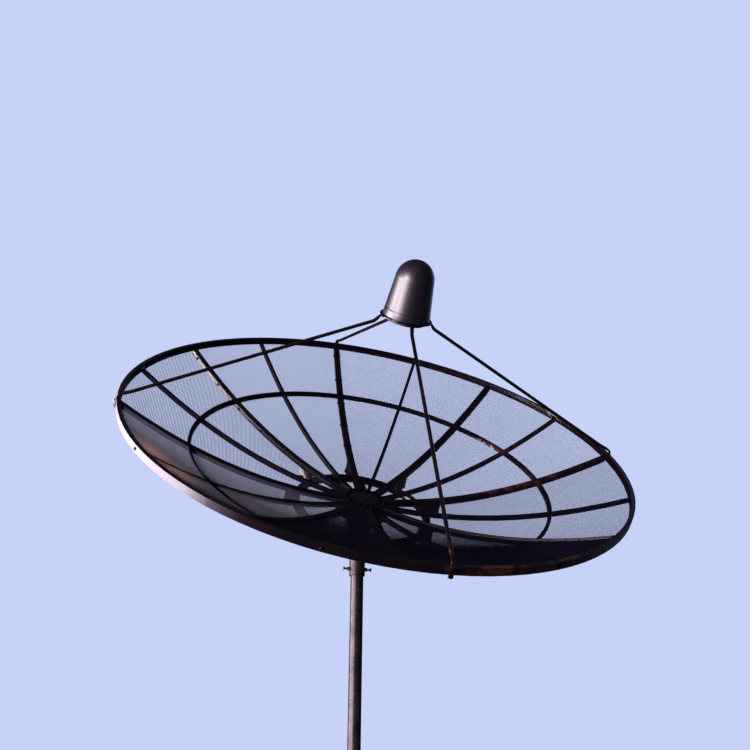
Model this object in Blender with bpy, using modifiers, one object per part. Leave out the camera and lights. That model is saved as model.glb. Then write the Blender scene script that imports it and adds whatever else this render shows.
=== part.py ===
"""Mesh dish antenna, 3 m across, on a swivelling steel mount and a flanged pole.

Metres, +Z up. The origin is on the underside of the base flange, on the pole's axis.
The dish looks towards -Y and up. It turns about the pole and tilts about a pin along X.
Heights on the reflector and the feed are counted along the dish's axis from its vertex.
"""

import math

import bmesh
import bpy
from mathutils import Matrix, Vector

# Fit between pieces that touch
GAP = 0.0003

# Reflector: mesh sheets on frames of rim, hoop and ribs
DISH_RADIUS = 1.500
FOCAL_LENGTH = 1.195
PANELS = 8
MESH_THICKNESS = 0.002
RIM_WIDTH = 0.024
RIM_ABOVE = 0.008
RIM_BELOW = 0.034
HOOP_RADIUS = 1.075
HOOP_WIDTH = 0.020
HOOP_DEPTH = 0.020
SEAM_RIB_WIDTH = 0.038
SEAM_RIB_ABOVE = 0.004
SEAM_RIB_BELOW = 0.030
SEAM_RIB_INNER = 0.070
MID_RIB_WIDTH = 0.020
MID_RIB_DEPTH = 0.028
MID_RIB_INNER = 0.100
SHEET_INNER = 0.105
SHEET_OUTER = DISH_RADIUS - RIM_WIDTH - 0.0015
RADIAL_STEPS = 12
SHEET_ANGLE_STEPS = 8
RIM_ANGLE_STEPS = 12

# Hub plate in front of the ribs, drum behind them and the mounting ring
HUB_RADIUS = 0.125
HUB_THICKNESS = 0.004
HUB_LIFT = 0.0012
DRUM_RADIUS = 0.160
HUB_SIDES = 48
RING_RADIUS = 0.420
RING_SECTION = 0.036
RING_DEPTH = 0.038
RING_TOP = -0.045
RING_ANGLE_STEPS = 24
STANDOFF_REACH = 0.480
STANDOFF_LAP = 0.012

# Feed: support ring, scalar ring, horn, receiver and cover
COVER_BASE_HEIGHT = 1.162
COVER_HEIGHT = 0.306
COVER_CROWN_RISE = 0.004
COVER_BASE_RADIUS = 0.137
COVER_TOP_RADIUS = 0.087
COVER_SHOULDER = 0.050
COVER_WALL = 0.003
FEED_RING_THICKNESS = 0.005
FEED_RING_INNER = 0.112
FEED_RING_OUTER = 0.150
SCALAR_RADIUS = 0.110
SCALAR_FLANGE = 0.016
SCALAR_THICKNESS = 0.004
SCALAR_WALL = 0.004
SCALAR_DEPTH = 0.022
HORN_RADIUS = 0.032
HORN_WALL = 0.003
HORN_BELOW = 0.018
HORN_ABOVE = 0.070
RECEIVER_WIDTH = 0.090
RECEIVER_DEPTH = 0.080
RECEIVER_HEIGHT = 0.060
RECEIVER_ROUNDING = 0.006

# Feed legs, one over every second seam rib
LEG_RADIUS = 0.010
LEG_FLAT_WIDTH = 0.026
LEG_FLAT_THICKNESS = 0.006
LEG_SIDES = 10

# Back frame: two channels with hinge lugs and the slotted quadrant between them
REST_ELEVATION = 47.0
LOWEST_ELEVATION = 10.0
HIGHEST_ELEVATION = 85.0
PIVOT_HEIGHT = 2.250
VERTEX_OFFSET = 0.180
CHANNEL_WIDTH = 0.040
CHANNEL_DEPTH = 0.030
LUG_INNER = 0.060
LUG_THICKNESS = 0.008
LUG_RADIUS = 0.034
LUG_FOOT = 0.095
QUADRANT_THICKNESS = 0.008
QUADRANT_RADIUS = 0.106
QUADRANT_BAR_TOP = 0.030
QUADRANT_BAR_HALF = 0.010
SLOT_HALF_WIDTH = 0.0075
SLOT_MARGIN = 4.0

# Mount head on the pole
PIN_RADIUS = 0.010
PIN_CLEARANCE = 0.0005
PIN_HEAD_RADIUS = 0.018
PIN_HEAD_HEIGHT = 0.010
CLAMP_DROP = 0.082
CLAMP_RADIUS = 0.006
CLAMP_HEAD_RADIUS = 0.011
CLAMP_HEAD_HEIGHT = 0.008
EAR_THICKNESS = 0.010
EAR_SIDE_GAP = 0.003
EAR_RADIUS = 0.034
EAR_HALF_WIDTH = 0.038
CAP_DROP = 0.115
CAP_THICKNESS = 0.012
CAP_HALF_SIDE = 0.055
SLEEVE_RADIUS = 0.0465
SLEEVE_LENGTH = 0.175
SLEEVE_CLEARANCE = 0.0006
SET_BOLT_RADIUS = 0.006
SET_BOLT_LENGTH = 0.040
SET_BOLT_HEAD_RADIUS = 0.011
SET_BOLT_HEAD_HEIGHT = 0.008
SET_NUT_RADIUS = 0.0125
SET_NUT_LENGTH = 0.014
SET_BOLT_RISE = 0.040

# Pole and base flange
POLE_RADIUS = 0.038
POLE_WALL = 0.005
BASE_SIDE = 0.360
BASE_THICKNESS = 0.016
BASE_HOLE_RADIUS = 0.011
BASE_HOLE_INSET = 0.045
GUSSET_HEIGHT = 0.160
GUSSET_THICKNESS = 0.008
GUSSET_EDGE = 0.012
GUSSET_INSET = 0.030
WELD_LAP = 0.002

SEAM_STEP = 2 * math.pi / PANELS


def start_scene():
    """Empty the file and return the collections for the parts and for the cutters."""
    for thing in list(bpy.data.objects):
        bpy.data.objects.remove(thing, do_unlink=True)
    parts = bpy.data.collections.new("mesh_dish_antenna")
    cutters = bpy.data.collections.new("cutters")
    bpy.context.scene.collection.children.link(parts)
    bpy.context.scene.collection.children.link(cutters)
    return parts, cutters


PARTS, CUTTERS = start_scene()


def make_material(name, colour, metallic, roughness):
    """A plain Principled finish."""
    finish = bpy.data.materials.new(name)
    finish.use_nodes = True
    shader = finish.node_tree.nodes["Principled BSDF"]
    shader.inputs["Base Color"].default_value = (*colour, 1.0)
    shader.inputs["Metallic"].default_value = metallic
    shader.inputs["Roughness"].default_value = roughness
    return finish


FRAME_BLACK = make_material("powder_coated_steel", (0.020, 0.017, 0.019), 0.0, 0.45)
MESH_BLACK = make_material("coated_expanded_mesh", (0.025, 0.022, 0.030), 0.0, 0.55)
COVER_PLASTIC = make_material("moulded_cover_plastic", (0.022, 0.015, 0.024), 0.0, 0.18)
FEED_METAL = make_material("cast_aluminium", (0.55, 0.55, 0.56), 1.0, 0.40)
GALVANISED = make_material("galvanised_steel", (0.35, 0.34, 0.36), 1.0, 0.50)
BOLT_STEEL = make_material("zinc_plated_bolt", (0.60, 0.58, 0.55), 1.0, 0.35)


def dish_height(radius):
    """Height of the reflecting surface above the vertex."""
    return radius * radius / (4 * FOCAL_LENGTH)


RIM_HEIGHT = dish_height(DISH_RADIUS)


def make_empty(name, location, tilt, parent=None):
    """An empty on a joint's axis, or on the dish's vertex."""
    empty = bpy.data.objects.new(name, None)
    empty.location = location
    empty.rotation_euler = (tilt, 0, 0)
    empty.parent = parent
    PARTS.objects.link(empty)
    return empty


AZIMUTH = make_empty("azimuth_axis", (0, 0, PIVOT_HEIGHT), 0)
ELEVATION = make_empty("elevation_axis", (0, 0, 0), math.radians(90 - REST_ELEVATION), AZIMUTH)
VERTEX = make_empty("dish_vertex", (0, 0, VERTEX_OFFSET), 0, ELEVATION)


def add_part(name, mesh, finish, parent=None, smooth=False):
    """Make the named object of one sub-part from its mesh."""
    mesh.name = name
    part = bpy.data.objects.new(name, mesh)
    mesh.materials.clear()
    mesh.materials.append(finish)
    if smooth:
        mesh.shade_smooth()
        mesh.set_sharp_from_angle(angle=math.radians(35))
    part.parent = parent
    PARTS.objects.link(part)
    return part


def mesh_from(bm):
    """Turn a closed bmesh into mesh data with its faces outwards."""
    bmesh.ops.recalc_face_normals(bm, faces=bm.faces)
    if bm.calc_volume(signed=True) < 0:
        bmesh.ops.reverse_faces(bm, faces=bm.faces)
    mesh = bpy.data.meshes.new("shape")
    bm.to_mesh(mesh)
    bm.free()
    return mesh


def evaluated_mesh(holder):
    """The mesh of a curve or of an object with modifiers, which is then removed."""
    CUTTERS.objects.link(holder)
    graph = bpy.context.evaluated_depsgraph_get()
    mesh = bpy.data.meshes.new_from_object(holder.evaluated_get(graph))
    bpy.data.objects.remove(holder, do_unlink=True)
    bm = bmesh.new()
    bm.from_mesh(mesh)
    bmesh.ops.remove_doubles(bm, verts=bm.verts, dist=0.00005)
    return mesh_from(bm)


def slice_at(bm, point, normal):
    """Cut new edges through the whole mesh along a plane."""
    geometry = bm.verts[:] + bm.edges[:] + bm.faces[:]
    bmesh.ops.bisect_plane(bm, geom=geometry, plane_co=point, plane_no=normal)


def turn_about_z(bm, angle):
    """Turn the whole mesh about Z."""
    bmesh.ops.rotate(bm, verts=bm.verts, cent=(0, 0, 0), matrix=Matrix.Rotation(angle, 3, "Z"))


def box_bmesh(low, high, cuts=(1, 1, 1)):
    """A box between two corners, sliced evenly along each axis."""
    bm = bmesh.new()
    low = Vector(low)
    high = Vector(high)
    size = high - low
    place = Matrix.Translation((low + high) / 2) @ Matrix.Diagonal((*size, 1))
    bmesh.ops.create_cube(bm, size=1, matrix=place)
    for axis, count in enumerate(cuts):
        normal = Vector((0, 0, 0))
        normal[axis] = 1
        for cut in range(1, count):
            point = low.copy()
            point[axis] += size[axis] * cut / count
            slice_at(bm, point, normal)
    return bm


def bend_round(bm, turn, height_at):
    """Bend a box of (radius, angle, height) round Z, its heights counted from a surface."""
    for vert in bm.verts:
        radius, angle, height = vert.co
        angle += turn
        vert.co = (radius * math.cos(angle), radius * math.sin(angle), height + height_at(radius))


def rib_bar(inner, outer, width, bottom, top, turn):
    """A bar from the hub outwards, bent to the dish at the same radii as the mesh sheets."""
    bm = box_bmesh((inner, -width / 2, bottom), (outer, width / 2, top))
    for step in range(RADIAL_STEPS + 1):
        radius = SHEET_INNER + (SHEET_OUTER - SHEET_INNER) * step / RADIAL_STEPS
        slice_at(bm, (radius, 0, 0), (1, 0, 0))
    for vert in bm.verts:
        vert.co.z += dish_height(vert.co.x)
    turn_about_z(bm, turn)
    return bm


def join_solids(main, others):
    """Join solids with exact Booleans and return the finished mesh."""
    body = bpy.data.objects.new("work", main)
    CUTTERS.objects.link(body)
    tools = []
    for other in others:
        tool = bpy.data.objects.new("tool", other)
        CUTTERS.objects.link(tool)
        tools.append(tool)
        boolean = body.modifiers.new("join", "BOOLEAN")
        boolean.operation = "UNION"
        boolean.solver = "EXACT"
        boolean.object = tool
    graph = bpy.context.evaluated_depsgraph_get()
    result = bpy.data.meshes.new_from_object(body.evaluated_get(graph))
    for leftover in [body, *tools]:
        bpy.data.objects.remove(leftover, do_unlink=True)
    joined = bmesh.new()
    joined.from_mesh(result)
    bmesh.ops.remove_doubles(joined, verts=joined.verts, dist=0.00002)
    bmesh.ops.dissolve_limit(joined, angle_limit=0.0005, verts=joined.verts, edges=joined.edges)
    bmesh.ops.triangulate(joined, faces=joined.faces)
    joined.to_mesh(result)
    joined.free()
    return result


def cylinder_bmesh(radius, length, sides, centre, along_x=False):
    """A capped cylinder along Z, or along X."""
    bm = bmesh.new()
    turn = Matrix.Rotation(math.pi / 2, 4, "Y") if along_x else Matrix()
    bmesh.ops.create_cone(bm, cap_ends=True, segments=sides, radius1=radius, radius2=radius,
                          depth=length, matrix=Matrix.Translation(centre) @ turn)
    return bm


def turned_mesh(profile, steps, closed=True):
    """A body turned about Z from a (radius, height) outline, which runs down its outer side.

    An open outline starts and ends on the axis.
    """
    flat = bpy.data.meshes.new("profile")
    count = len(profile)
    edges = [(i, (i + 1) % count) for i in range(count if closed else count - 1)]
    flat.from_pydata([(radius, 0, height) for radius, height in profile], edges, [])
    holder = bpy.data.objects.new("profile", flat)
    screw = holder.modifiers.new("turn", "SCREW")
    screw.steps = steps
    screw.render_steps = steps
    screw.use_merge_vertices = True
    screw.merge_threshold = 0.00005
    return evaluated_mesh(holder)


def tube_mesh(outer, inner, top, bottom, steps):
    """A straight tube about Z."""
    return turned_mesh([(outer, top), (outer, bottom), (inner, bottom), (inner, top)], steps)


def plate_mesh(outlines, thickness):
    """A flat plate in XY from closed outlines; the ones inside others are holes."""
    curve = bpy.data.curves.new("outline", "CURVE")
    curve.dimensions = "2D"
    curve.fill_mode = "BOTH"
    curve.extrude = thickness / 2
    for outline in outlines:
        spline = curve.splines.new("POLY")
        spline.points.add(len(outline) - 1)
        for point, (x, y) in zip(spline.points, outline):
            point.co = (x, y, 0, 1)
        spline.use_cyclic_u = True
    return evaluated_mesh(bpy.data.objects.new("outline", curve))


def stand_on_edge(plate, x):
    """Stand a flat plate across X: its first axis turns to Z and its second stays Y."""
    plate.transform(Matrix(((0, 0, 1, x), (0, 1, 0, 0), (1, 0, 0, 0), (0, 0, 0, 1))))
    plate.flip_normals()
    return plate


def arc(radius, start, end, steps, centre=(0, 0)):
    """Points of an arc in degrees, both ends included."""
    points = []
    for step in range(steps + 1):
        angle = math.radians(start + (end - start) * step / steps)
        points.append((centre[0] + radius * math.cos(angle), centre[1] + radius * math.sin(angle)))
    return points


def circle(radius, steps, centre=(0, 0)):
    """Points round a full circle."""
    return arc(radius, 0, 360 * (1 - 1 / steps), steps - 1, centre)


# Reflector: mesh sheets, frames and seam ribs

def mesh_panel(index):
    """One mesh sheet between two seam ribs, in front of its middle rib and hoop."""
    half_seam = SEAM_RIB_WIDTH / 2 + GAP
    bm = box_bmesh((SHEET_INNER, 0, -MESH_THICKNESS), (SHEET_OUTER, 1, 0),
                   (RADIAL_STEPS, SHEET_ANGLE_STEPS, 1))
    for vert in bm.verts:
        margin = math.asin(half_seam / vert.co.x)
        vert.co.y = margin + (SEAM_STEP - 2 * margin) * vert.co.y
    bend_round(bm, SEAM_STEP * index, dish_height)
    add_part(f"mesh_panel_{index + 1}", mesh_from(bm), MESH_BLACK, VERTEX)


def panel_frame(index):
    """Rim segment, hoop segment and middle rib of one panel, welded together."""
    middle = SEAM_STEP * (index + 0.5)
    rib_top = -MESH_THICKNESS - GAP
    hoop_top = rib_top - 0.001
    rim_half = SEAM_STEP / 2 - GAP / DISH_RADIUS
    rim = box_bmesh((DISH_RADIUS - RIM_WIDTH, -rim_half, -RIM_BELOW),
                    (DISH_RADIUS, rim_half, RIM_ABOVE), (1, RIM_ANGLE_STEPS, 1))
    bend_round(rim, middle, lambda radius: RIM_HEIGHT)
    hoop_half = SEAM_STEP / 2 - (SEAM_RIB_WIDTH / 2 + GAP) / HOOP_RADIUS
    hoop = box_bmesh((HOOP_RADIUS - HOOP_WIDTH / 2, -hoop_half, hoop_top - HOOP_DEPTH),
                     (HOOP_RADIUS + HOOP_WIDTH / 2, hoop_half, hoop_top), (1, RIM_ANGLE_STEPS, 1))
    bend_round(hoop, middle, dish_height)
    rib = rib_bar(MID_RIB_INNER, DISH_RADIUS - RIM_WIDTH / 2, MID_RIB_WIDTH,
                  rib_top - MID_RIB_DEPTH, rib_top, middle)
    mesh = join_solids(mesh_from(rim), [mesh_from(rib), mesh_from(hoop)])
    add_part(f"panel_frame_{index + 1}", mesh, FRAME_BLACK, VERTEX)


def seam_rib(index):
    """The double rib where two panels are bolted together, as one bar."""
    bm = rib_bar(SEAM_RIB_INNER, SHEET_OUTER, SEAM_RIB_WIDTH, -SEAM_RIB_BELOW, SEAM_RIB_ABOVE,
                 SEAM_STEP * index)
    add_part(f"seam_rib_{index + 1}", mesh_from(bm), FRAME_BLACK, VERTEX)


for number in range(PANELS):
    mesh_panel(number)
    panel_frame(number)
    seam_rib(number)


# Hub plate, drum and mounting ring

HUB_BOTTOM = dish_height(HUB_RADIUS) + SEAM_RIB_ABOVE + HUB_LIFT
hub_plate = cylinder_bmesh(HUB_RADIUS, HUB_THICKNESS, HUB_SIDES, (0, 0, HUB_BOTTOM + HUB_THICKNESS / 2))
add_part("hub_front_plate", mesh_from(hub_plate), FRAME_BLACK, VERTEX, smooth=True)

RING_BOTTOM = RING_TOP - RING_DEPTH
DRUM_TOP = dish_height(SEAM_RIB_INNER) - SEAM_RIB_BELOW - GAP
drum = cylinder_bmesh(DRUM_RADIUS, DRUM_TOP - RING_BOTTOM, HUB_SIDES, (0, 0, (DRUM_TOP + RING_BOTTOM) / 2))
add_part("hub_drum", mesh_from(drum), FRAME_BLACK, VERTEX, smooth=True)


def standoff_bracket(turn):
    """A block from the ring out and up to the underside of one seam rib."""
    low = (RING_RADIUS - RING_SECTION + STANDOFF_LAP, -SEAM_RIB_WIDTH / 2, RING_TOP - STANDOFF_LAP)
    bm = box_bmesh(low, (STANDOFF_REACH, SEAM_RIB_WIDTH / 2, 0))
    for vert in bm.verts:
        if vert.co.z == 0:
            vert.co.z = dish_height(vert.co.x) - SEAM_RIB_BELOW - 0.001
    turn_about_z(bm, turn)
    return mesh_from(bm)


def ring_half(side, middle):
    """Half of the rolled square ring, with the brackets of the four seam ribs on it."""
    half = math.pi / 2 - GAP / RING_RADIUS
    ring = box_bmesh((RING_RADIUS - RING_SECTION, -half, RING_BOTTOM),
                     (RING_RADIUS, half, RING_TOP), (1, RING_ANGLE_STEPS, 1))
    bend_round(ring, middle, lambda radius: 0)
    brackets = [standoff_bracket(middle + step * SEAM_STEP) for step in (-1.5, -0.5, 0.5, 1.5)]
    add_part(f"mount_ring_{side}", join_solids(mesh_from(ring), brackets), FRAME_BLACK, VERTEX)


ring_half("right", SEAM_STEP / 2)
ring_half("left", SEAM_STEP / 2 + math.pi)


# Feed: support ring, scalar ring with the horn, receiver and cover

FEED_RING_TOP = COVER_BASE_HEIGHT - GAP
FEED_RING_BOTTOM = FEED_RING_TOP - FEED_RING_THICKNESS
feed_ring = tube_mesh(FEED_RING_OUTER, FEED_RING_INNER, FEED_RING_TOP, FEED_RING_BOTTOM, 40)
add_part("feed_support_ring", feed_ring, FRAME_BLACK, VERTEX, smooth=True)


def scalar_profile():
    """Outline of the scalar ring: a flange on the support ring and two walls facing the dish."""
    flange = FEED_RING_TOP + GAP
    top = flange + SCALAR_THICKNESS
    mouth = FEED_RING_BOTTOM - SCALAR_DEPTH
    bore = HORN_RADIUS + GAP
    middle = (SCALAR_RADIUS + bore) / 2
    outline = [(SCALAR_RADIUS + SCALAR_FLANGE, top), (SCALAR_RADIUS + SCALAR_FLANGE, flange)]
    outline += [(SCALAR_RADIUS, flange), (SCALAR_RADIUS, mouth)]
    outline += [(SCALAR_RADIUS - SCALAR_WALL, mouth), (SCALAR_RADIUS - SCALAR_WALL, flange)]
    outline += [(middle, flange), (middle, mouth)]
    outline += [(middle - SCALAR_WALL, mouth), (middle - SCALAR_WALL, flange)]
    return outline + [(bore, flange), (bore, top)]


add_part("scalar_ring", turned_mesh(scalar_profile(), 24), FEED_METAL, VERTEX, smooth=True)

HORN_BOTTOM = FEED_RING_BOTTOM - HORN_BELOW
HORN_TOP = COVER_BASE_HEIGHT + HORN_ABOVE
horn = tube_mesh(HORN_RADIUS, HORN_RADIUS - HORN_WALL, HORN_TOP, HORN_BOTTOM, 24)
add_part("feed_horn", horn, FEED_METAL, VERTEX, smooth=True)

RECEIVER_LOW = (-RECEIVER_WIDTH / 2, -RECEIVER_DEPTH / 2, HORN_TOP + GAP)
RECEIVER_HIGH = (RECEIVER_WIDTH / 2, RECEIVER_DEPTH / 2, HORN_TOP + RECEIVER_HEIGHT)
receiver = add_part("feed_receiver", mesh_from(box_bmesh(RECEIVER_LOW, RECEIVER_HIGH)), FEED_METAL, VERTEX)
rounding = receiver.modifiers.new("rounded", "BEVEL")
rounding.width = RECEIVER_ROUNDING
rounding.segments = 2


def cover_profile():
    """Outline of the hollow cover: outside from the crown down, then back up inside."""
    side_steps = 3
    crown_steps = 6
    shoulder_height = COVER_HEIGHT - COVER_SHOULDER
    outside = []
    for step in range(crown_steps):
        angle = math.pi / 2 * (1 - step / crown_steps)
        radius = COVER_TOP_RADIUS - COVER_SHOULDER + COVER_SHOULDER * math.cos(angle)
        outside.append((radius, shoulder_height + COVER_SHOULDER * math.sin(angle)))
    for step in range(side_steps + 1):
        share = step / side_steps
        radius = COVER_TOP_RADIUS + (COVER_BASE_RADIUS - COVER_TOP_RADIUS) * share
        outside.append((radius, shoulder_height * (1 - share)))
    inside = [(radius - COVER_WALL, height - COVER_WALL) for radius, height in outside]
    inside[-1] = (COVER_BASE_RADIUS - COVER_WALL, 0)
    outer = [(0.0, COVER_HEIGHT + COVER_CROWN_RISE), *outside]
    inner = [(0.0, COVER_HEIGHT + COVER_CROWN_RISE - COVER_WALL), *inside]
    return [(radius, COVER_BASE_HEIGHT + height) for radius, height in outer + inner[::-1]]


add_part("feed_cover", turned_mesh(cover_profile(), 32, closed=False), COVER_PLASTIC, VERTEX, smooth=True)


# Feed legs: tubes with both ends flattened and bent

LEG_RIM_RADIUS = DISH_RADIUS + GAP + LEG_FLAT_THICKNESS / 2
LEG_TOP_HEIGHT = FEED_RING_BOTTOM - GAP - LEG_FLAT_THICKNESS / 2
LEG_STATIONS = (
    # radius, height, share of flattening
    (LEG_RIM_RADIUS, RIM_HEIGHT - 0.048, 1.0),
    (LEG_RIM_RADIUS, RIM_HEIGHT + RIM_ABOVE + 0.004, 1.0),
    (DISH_RADIUS - 0.003, RIM_HEIGHT + 0.032, 0.7),
    (DISH_RADIUS - 0.030, RIM_HEIGHT + 0.052, 0.2),
    (DISH_RADIUS - 0.070, RIM_HEIGHT + 0.072, 0.0),
    (0.230, LEG_TOP_HEIGHT - 0.042, 0.0),
    (0.190, LEG_TOP_HEIGHT - 0.022, 0.3),
    (0.160, LEG_TOP_HEIGHT - 0.004, 0.9),
    (0.148, LEG_TOP_HEIGHT, 1.0),
    (0.116, LEG_TOP_HEIGHT, 1.0),
)


def leg_ring(bm, index):
    """The section of a leg at one station, square to the run there, lying over X."""
    radius, height, flat = LEG_STATIONS[index]
    before = Vector(LEG_STATIONS[max(index - 1, 0)][:2])
    after = Vector(LEG_STATIONS[min(index + 1, len(LEG_STATIONS) - 1)][:2])
    along = (after - before).normalized()
    across = Vector((-along.y, along.x))
    half_width = LEG_RADIUS + (LEG_FLAT_WIDTH / 2 - LEG_RADIUS) * flat
    half_thick = LEG_RADIUS + (LEG_FLAT_THICKNESS / 2 - LEG_RADIUS) * flat
    ring = []
    for side in range(LEG_SIDES):
        angle = 2 * math.pi * (side + 0.5) / LEG_SIDES
        lift = max(-1.0, min(1.0, math.sin(angle) * (1 + flat))) * half_thick
        point = Vector((radius, height)) + across * lift
        ring.append(bm.verts.new((point.x, half_width * math.cos(angle), point.y)))
    return ring


def feed_leg(name, turn):
    """A tube lofted along its bends: round in the middle, flat where it is bolted."""
    bm = bmesh.new()
    rings = [leg_ring(bm, index) for index in range(len(LEG_STATIONS))]
    for first, second in zip(rings, rings[1:]):
        for side in range(LEG_SIDES):
            following = (side + 1) % LEG_SIDES
            bm.faces.new((first[side], first[following], second[following], second[side]))
    bm.faces.new(rings[0])
    bm.faces.new(rings[-1])
    turn_about_z(bm, turn)
    add_part(name, mesh_from(bm), FRAME_BLACK, VERTEX, smooth=True)


for leg_name, leg_turn in (("right", 0), ("upper", 90), ("left", 180), ("lower", 270)):
    feed_leg(f"feed_leg_{leg_name}", math.radians(leg_turn))


# Back frame: heights here are counted from the hinge pin, along the dish's axis

CHANNEL_FRONT = VERTEX_OFFSET + RING_BOTTOM - GAP
CHANNEL_BACK = CHANNEL_FRONT - CHANNEL_DEPTH
CHANNEL_MIDDLE = (CHANNEL_FRONT + CHANNEL_BACK) / 2
PIN_HOLE = circle(PIN_RADIUS + PIN_CLEARANCE, 24)


def back_channel(side, sign):
    """A square tube across the ring, with the lug that hangs on the hinge pin."""
    tube = box_bmesh((LUG_INNER, -RING_RADIUS, CHANNEL_BACK),
                     (LUG_INNER + CHANNEL_WIDTH, RING_RADIUS, CHANNEL_FRONT))
    outline = [(CHANNEL_MIDDLE, -LUG_FOOT), *arc(LUG_RADIUS, -90, -270, 14), (CHANNEL_MIDDLE, LUG_FOOT)]
    lug = stand_on_edge(plate_mesh([outline, PIN_HOLE], LUG_THICKNESS), LUG_INNER + LUG_THICKNESS / 2)
    mesh = join_solids(mesh_from(tube), [lug])
    if sign < 0:
        mesh.transform(Matrix.Scale(-1, 4, (1, 0, 0)))
        mesh.flip_normals()
    add_part(f"back_channel_{side}", mesh, FRAME_BLACK, ELEVATION)


back_channel("right", 1)
back_channel("left", -1)


def slot_outline(radius, half_width, start, end, steps):
    """A curved slot round the pivot with round ends, angles in degrees."""
    outline = arc(radius + half_width, start, end, steps)
    tip = (radius * math.cos(math.radians(end)), radius * math.sin(math.radians(end)))
    outline += arc(half_width, end, end + 180, 6, tip)[1:-1]
    outline += arc(radius - half_width, end, start, steps)
    heel = (radius * math.cos(math.radians(start)), radius * math.sin(math.radians(start)))
    outline += arc(half_width, start + 180, start + 360, 6, heel)[1:-1]
    return outline


def quadrant():
    """A slotted plate that slides past the clamp bolt, welded to a bar between the channels.

    In the plate's own plane the clamp bolt, straight under the pin, stands at
    180 + 90 - elevation degrees from the dish's axis.
    """
    start = 180 + (90 - HIGHEST_ELEVATION) - SLOT_MARGIN
    end = 180 + (90 - LOWEST_ELEVATION) + SLOT_MARGIN
    outline = [(CHANNEL_MIDDLE, QUADRANT_BAR_TOP), *arc(QUADRANT_RADIUS, start - 14, end + 10, 24),
               (CHANNEL_MIDDLE, -QUADRANT_RADIUS)]
    slot = slot_outline(CLAMP_DROP, SLOT_HALF_WIDTH, start, end, 20)
    plate = stand_on_edge(plate_mesh([outline, slot, PIN_HOLE], QUADRANT_THICKNESS), 0)
    reach = LUG_INNER - GAP
    bar = box_bmesh((-reach, -QUADRANT_RADIUS, CHANNEL_MIDDLE - QUADRANT_BAR_HALF),
                    (reach, QUADRANT_BAR_TOP, CHANNEL_MIDDLE + QUADRANT_BAR_HALF))
    add_part("elevation_quadrant", join_solids(mesh_from(bar), [plate]), FRAME_BLACK, ELEVATION)


quadrant()


# Mount head on the pole: sleeve, yoke, hinge pin, clamp bolt and set bolts

EAR_OUTER = LUG_INNER - EAR_SIDE_GAP
EAR_MIDDLE = EAR_OUTER - EAR_THICKNESS / 2


def yoke():
    """Cap plate on the sleeve with two ears for the pin and the clamp bolt."""
    cap = box_bmesh((-CAP_HALF_SIDE, -CAP_HALF_SIDE, -CAP_DROP - CAP_THICKNESS),
                    (CAP_HALF_SIDE, CAP_HALF_SIDE, -CAP_DROP))
    # The outer side of an ear stands past the cap, so its foot stops at the cap's middle
    foot = -CAP_DROP - CAP_THICKNESS / 2
    outline = [(foot, -EAR_HALF_WIDTH), *arc(EAR_RADIUS, -90, 90, 14), (foot, EAR_HALF_WIDTH)]
    pin_hole = circle(PIN_RADIUS + GAP, 24)
    clamp_hole = circle(CLAMP_RADIUS + GAP, 16, (-CLAMP_DROP, 0))
    ears = []
    for side in (-1, 1):
        ear = plate_mesh([outline, pin_hole, clamp_hole], EAR_THICKNESS)
        ears.append(stand_on_edge(ear, side * EAR_MIDDLE))
    add_part("yoke", join_solids(mesh_from(cap), ears), GALVANISED, AZIMUTH)


def headed_bolt(name, radius, half_length, head_radius, head_height, drop):
    """A bolt along X with a hexagon head at one end and a nut at the other."""
    shank = cylinder_bmesh(radius, 2 * half_length, 24, (0, 0, -drop), along_x=True)
    ends = []
    for side in (-1, 1):
        middle = (side * (half_length - head_height / 2), 0, -drop)
        ends.append(mesh_from(cylinder_bmesh(head_radius, head_height, 6, middle, along_x=True)))
    add_part(name, join_solids(mesh_from(shank), ends), BOLT_STEEL, AZIMUTH)


yoke()
PIN_HALF_LENGTH = LUG_INNER + LUG_THICKNESS + EAR_SIDE_GAP + PIN_HEAD_HEIGHT
CLAMP_HALF_LENGTH = EAR_OUTER + GAP + CLAMP_HEAD_HEIGHT
headed_bolt("hinge_pin", PIN_RADIUS, PIN_HALF_LENGTH, PIN_HEAD_RADIUS, PIN_HEAD_HEIGHT, 0)
headed_bolt("elevation_clamp_bolt", CLAMP_RADIUS, CLAMP_HALF_LENGTH, CLAMP_HEAD_RADIUS,
            CLAMP_HEAD_HEIGHT, CLAMP_DROP)

SLEEVE_TOP = -CAP_DROP - CAP_THICKNESS - GAP
SLEEVE_BOTTOM = SLEEVE_TOP - SLEEVE_LENGTH
sleeve = tube_mesh(SLEEVE_RADIUS, POLE_RADIUS + SLEEVE_CLEARANCE, SLEEVE_TOP, SLEEVE_BOTTOM, 40)
add_part("pole_sleeve", sleeve, GALVANISED, AZIMUTH, smooth=True)


def set_bolt(name, turn):
    """A bolt in a nut on the sleeve, which clamps the sleeve to the pole."""
    start = SLEEVE_RADIUS + GAP
    height = SLEEVE_BOTTOM + SET_BOLT_RISE
    nut_middle = start + SET_NUT_LENGTH / 2
    head_middle = start + SET_BOLT_LENGTH - SET_BOLT_HEAD_HEIGHT / 2
    shank = cylinder_bmesh(SET_BOLT_RADIUS, SET_BOLT_LENGTH, 16,
                           (start + SET_BOLT_LENGTH / 2, 0, height), along_x=True)
    nut = cylinder_bmesh(SET_NUT_RADIUS, SET_NUT_LENGTH, 6, (nut_middle, 0, height), along_x=True)
    head = cylinder_bmesh(SET_BOLT_HEAD_RADIUS, SET_BOLT_HEAD_HEIGHT, 6,
                          (head_middle, 0, height), along_x=True)
    mesh = join_solids(mesh_from(shank), [mesh_from(nut), mesh_from(head)])
    mesh.transform(Matrix.Rotation(turn, 4, "Z"))
    add_part(name, mesh, BOLT_STEEL, AZIMUTH)


set_bolt("set_bolt_left", math.pi)
set_bolt("set_bolt_right", 0)


# Pole and base flange

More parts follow.
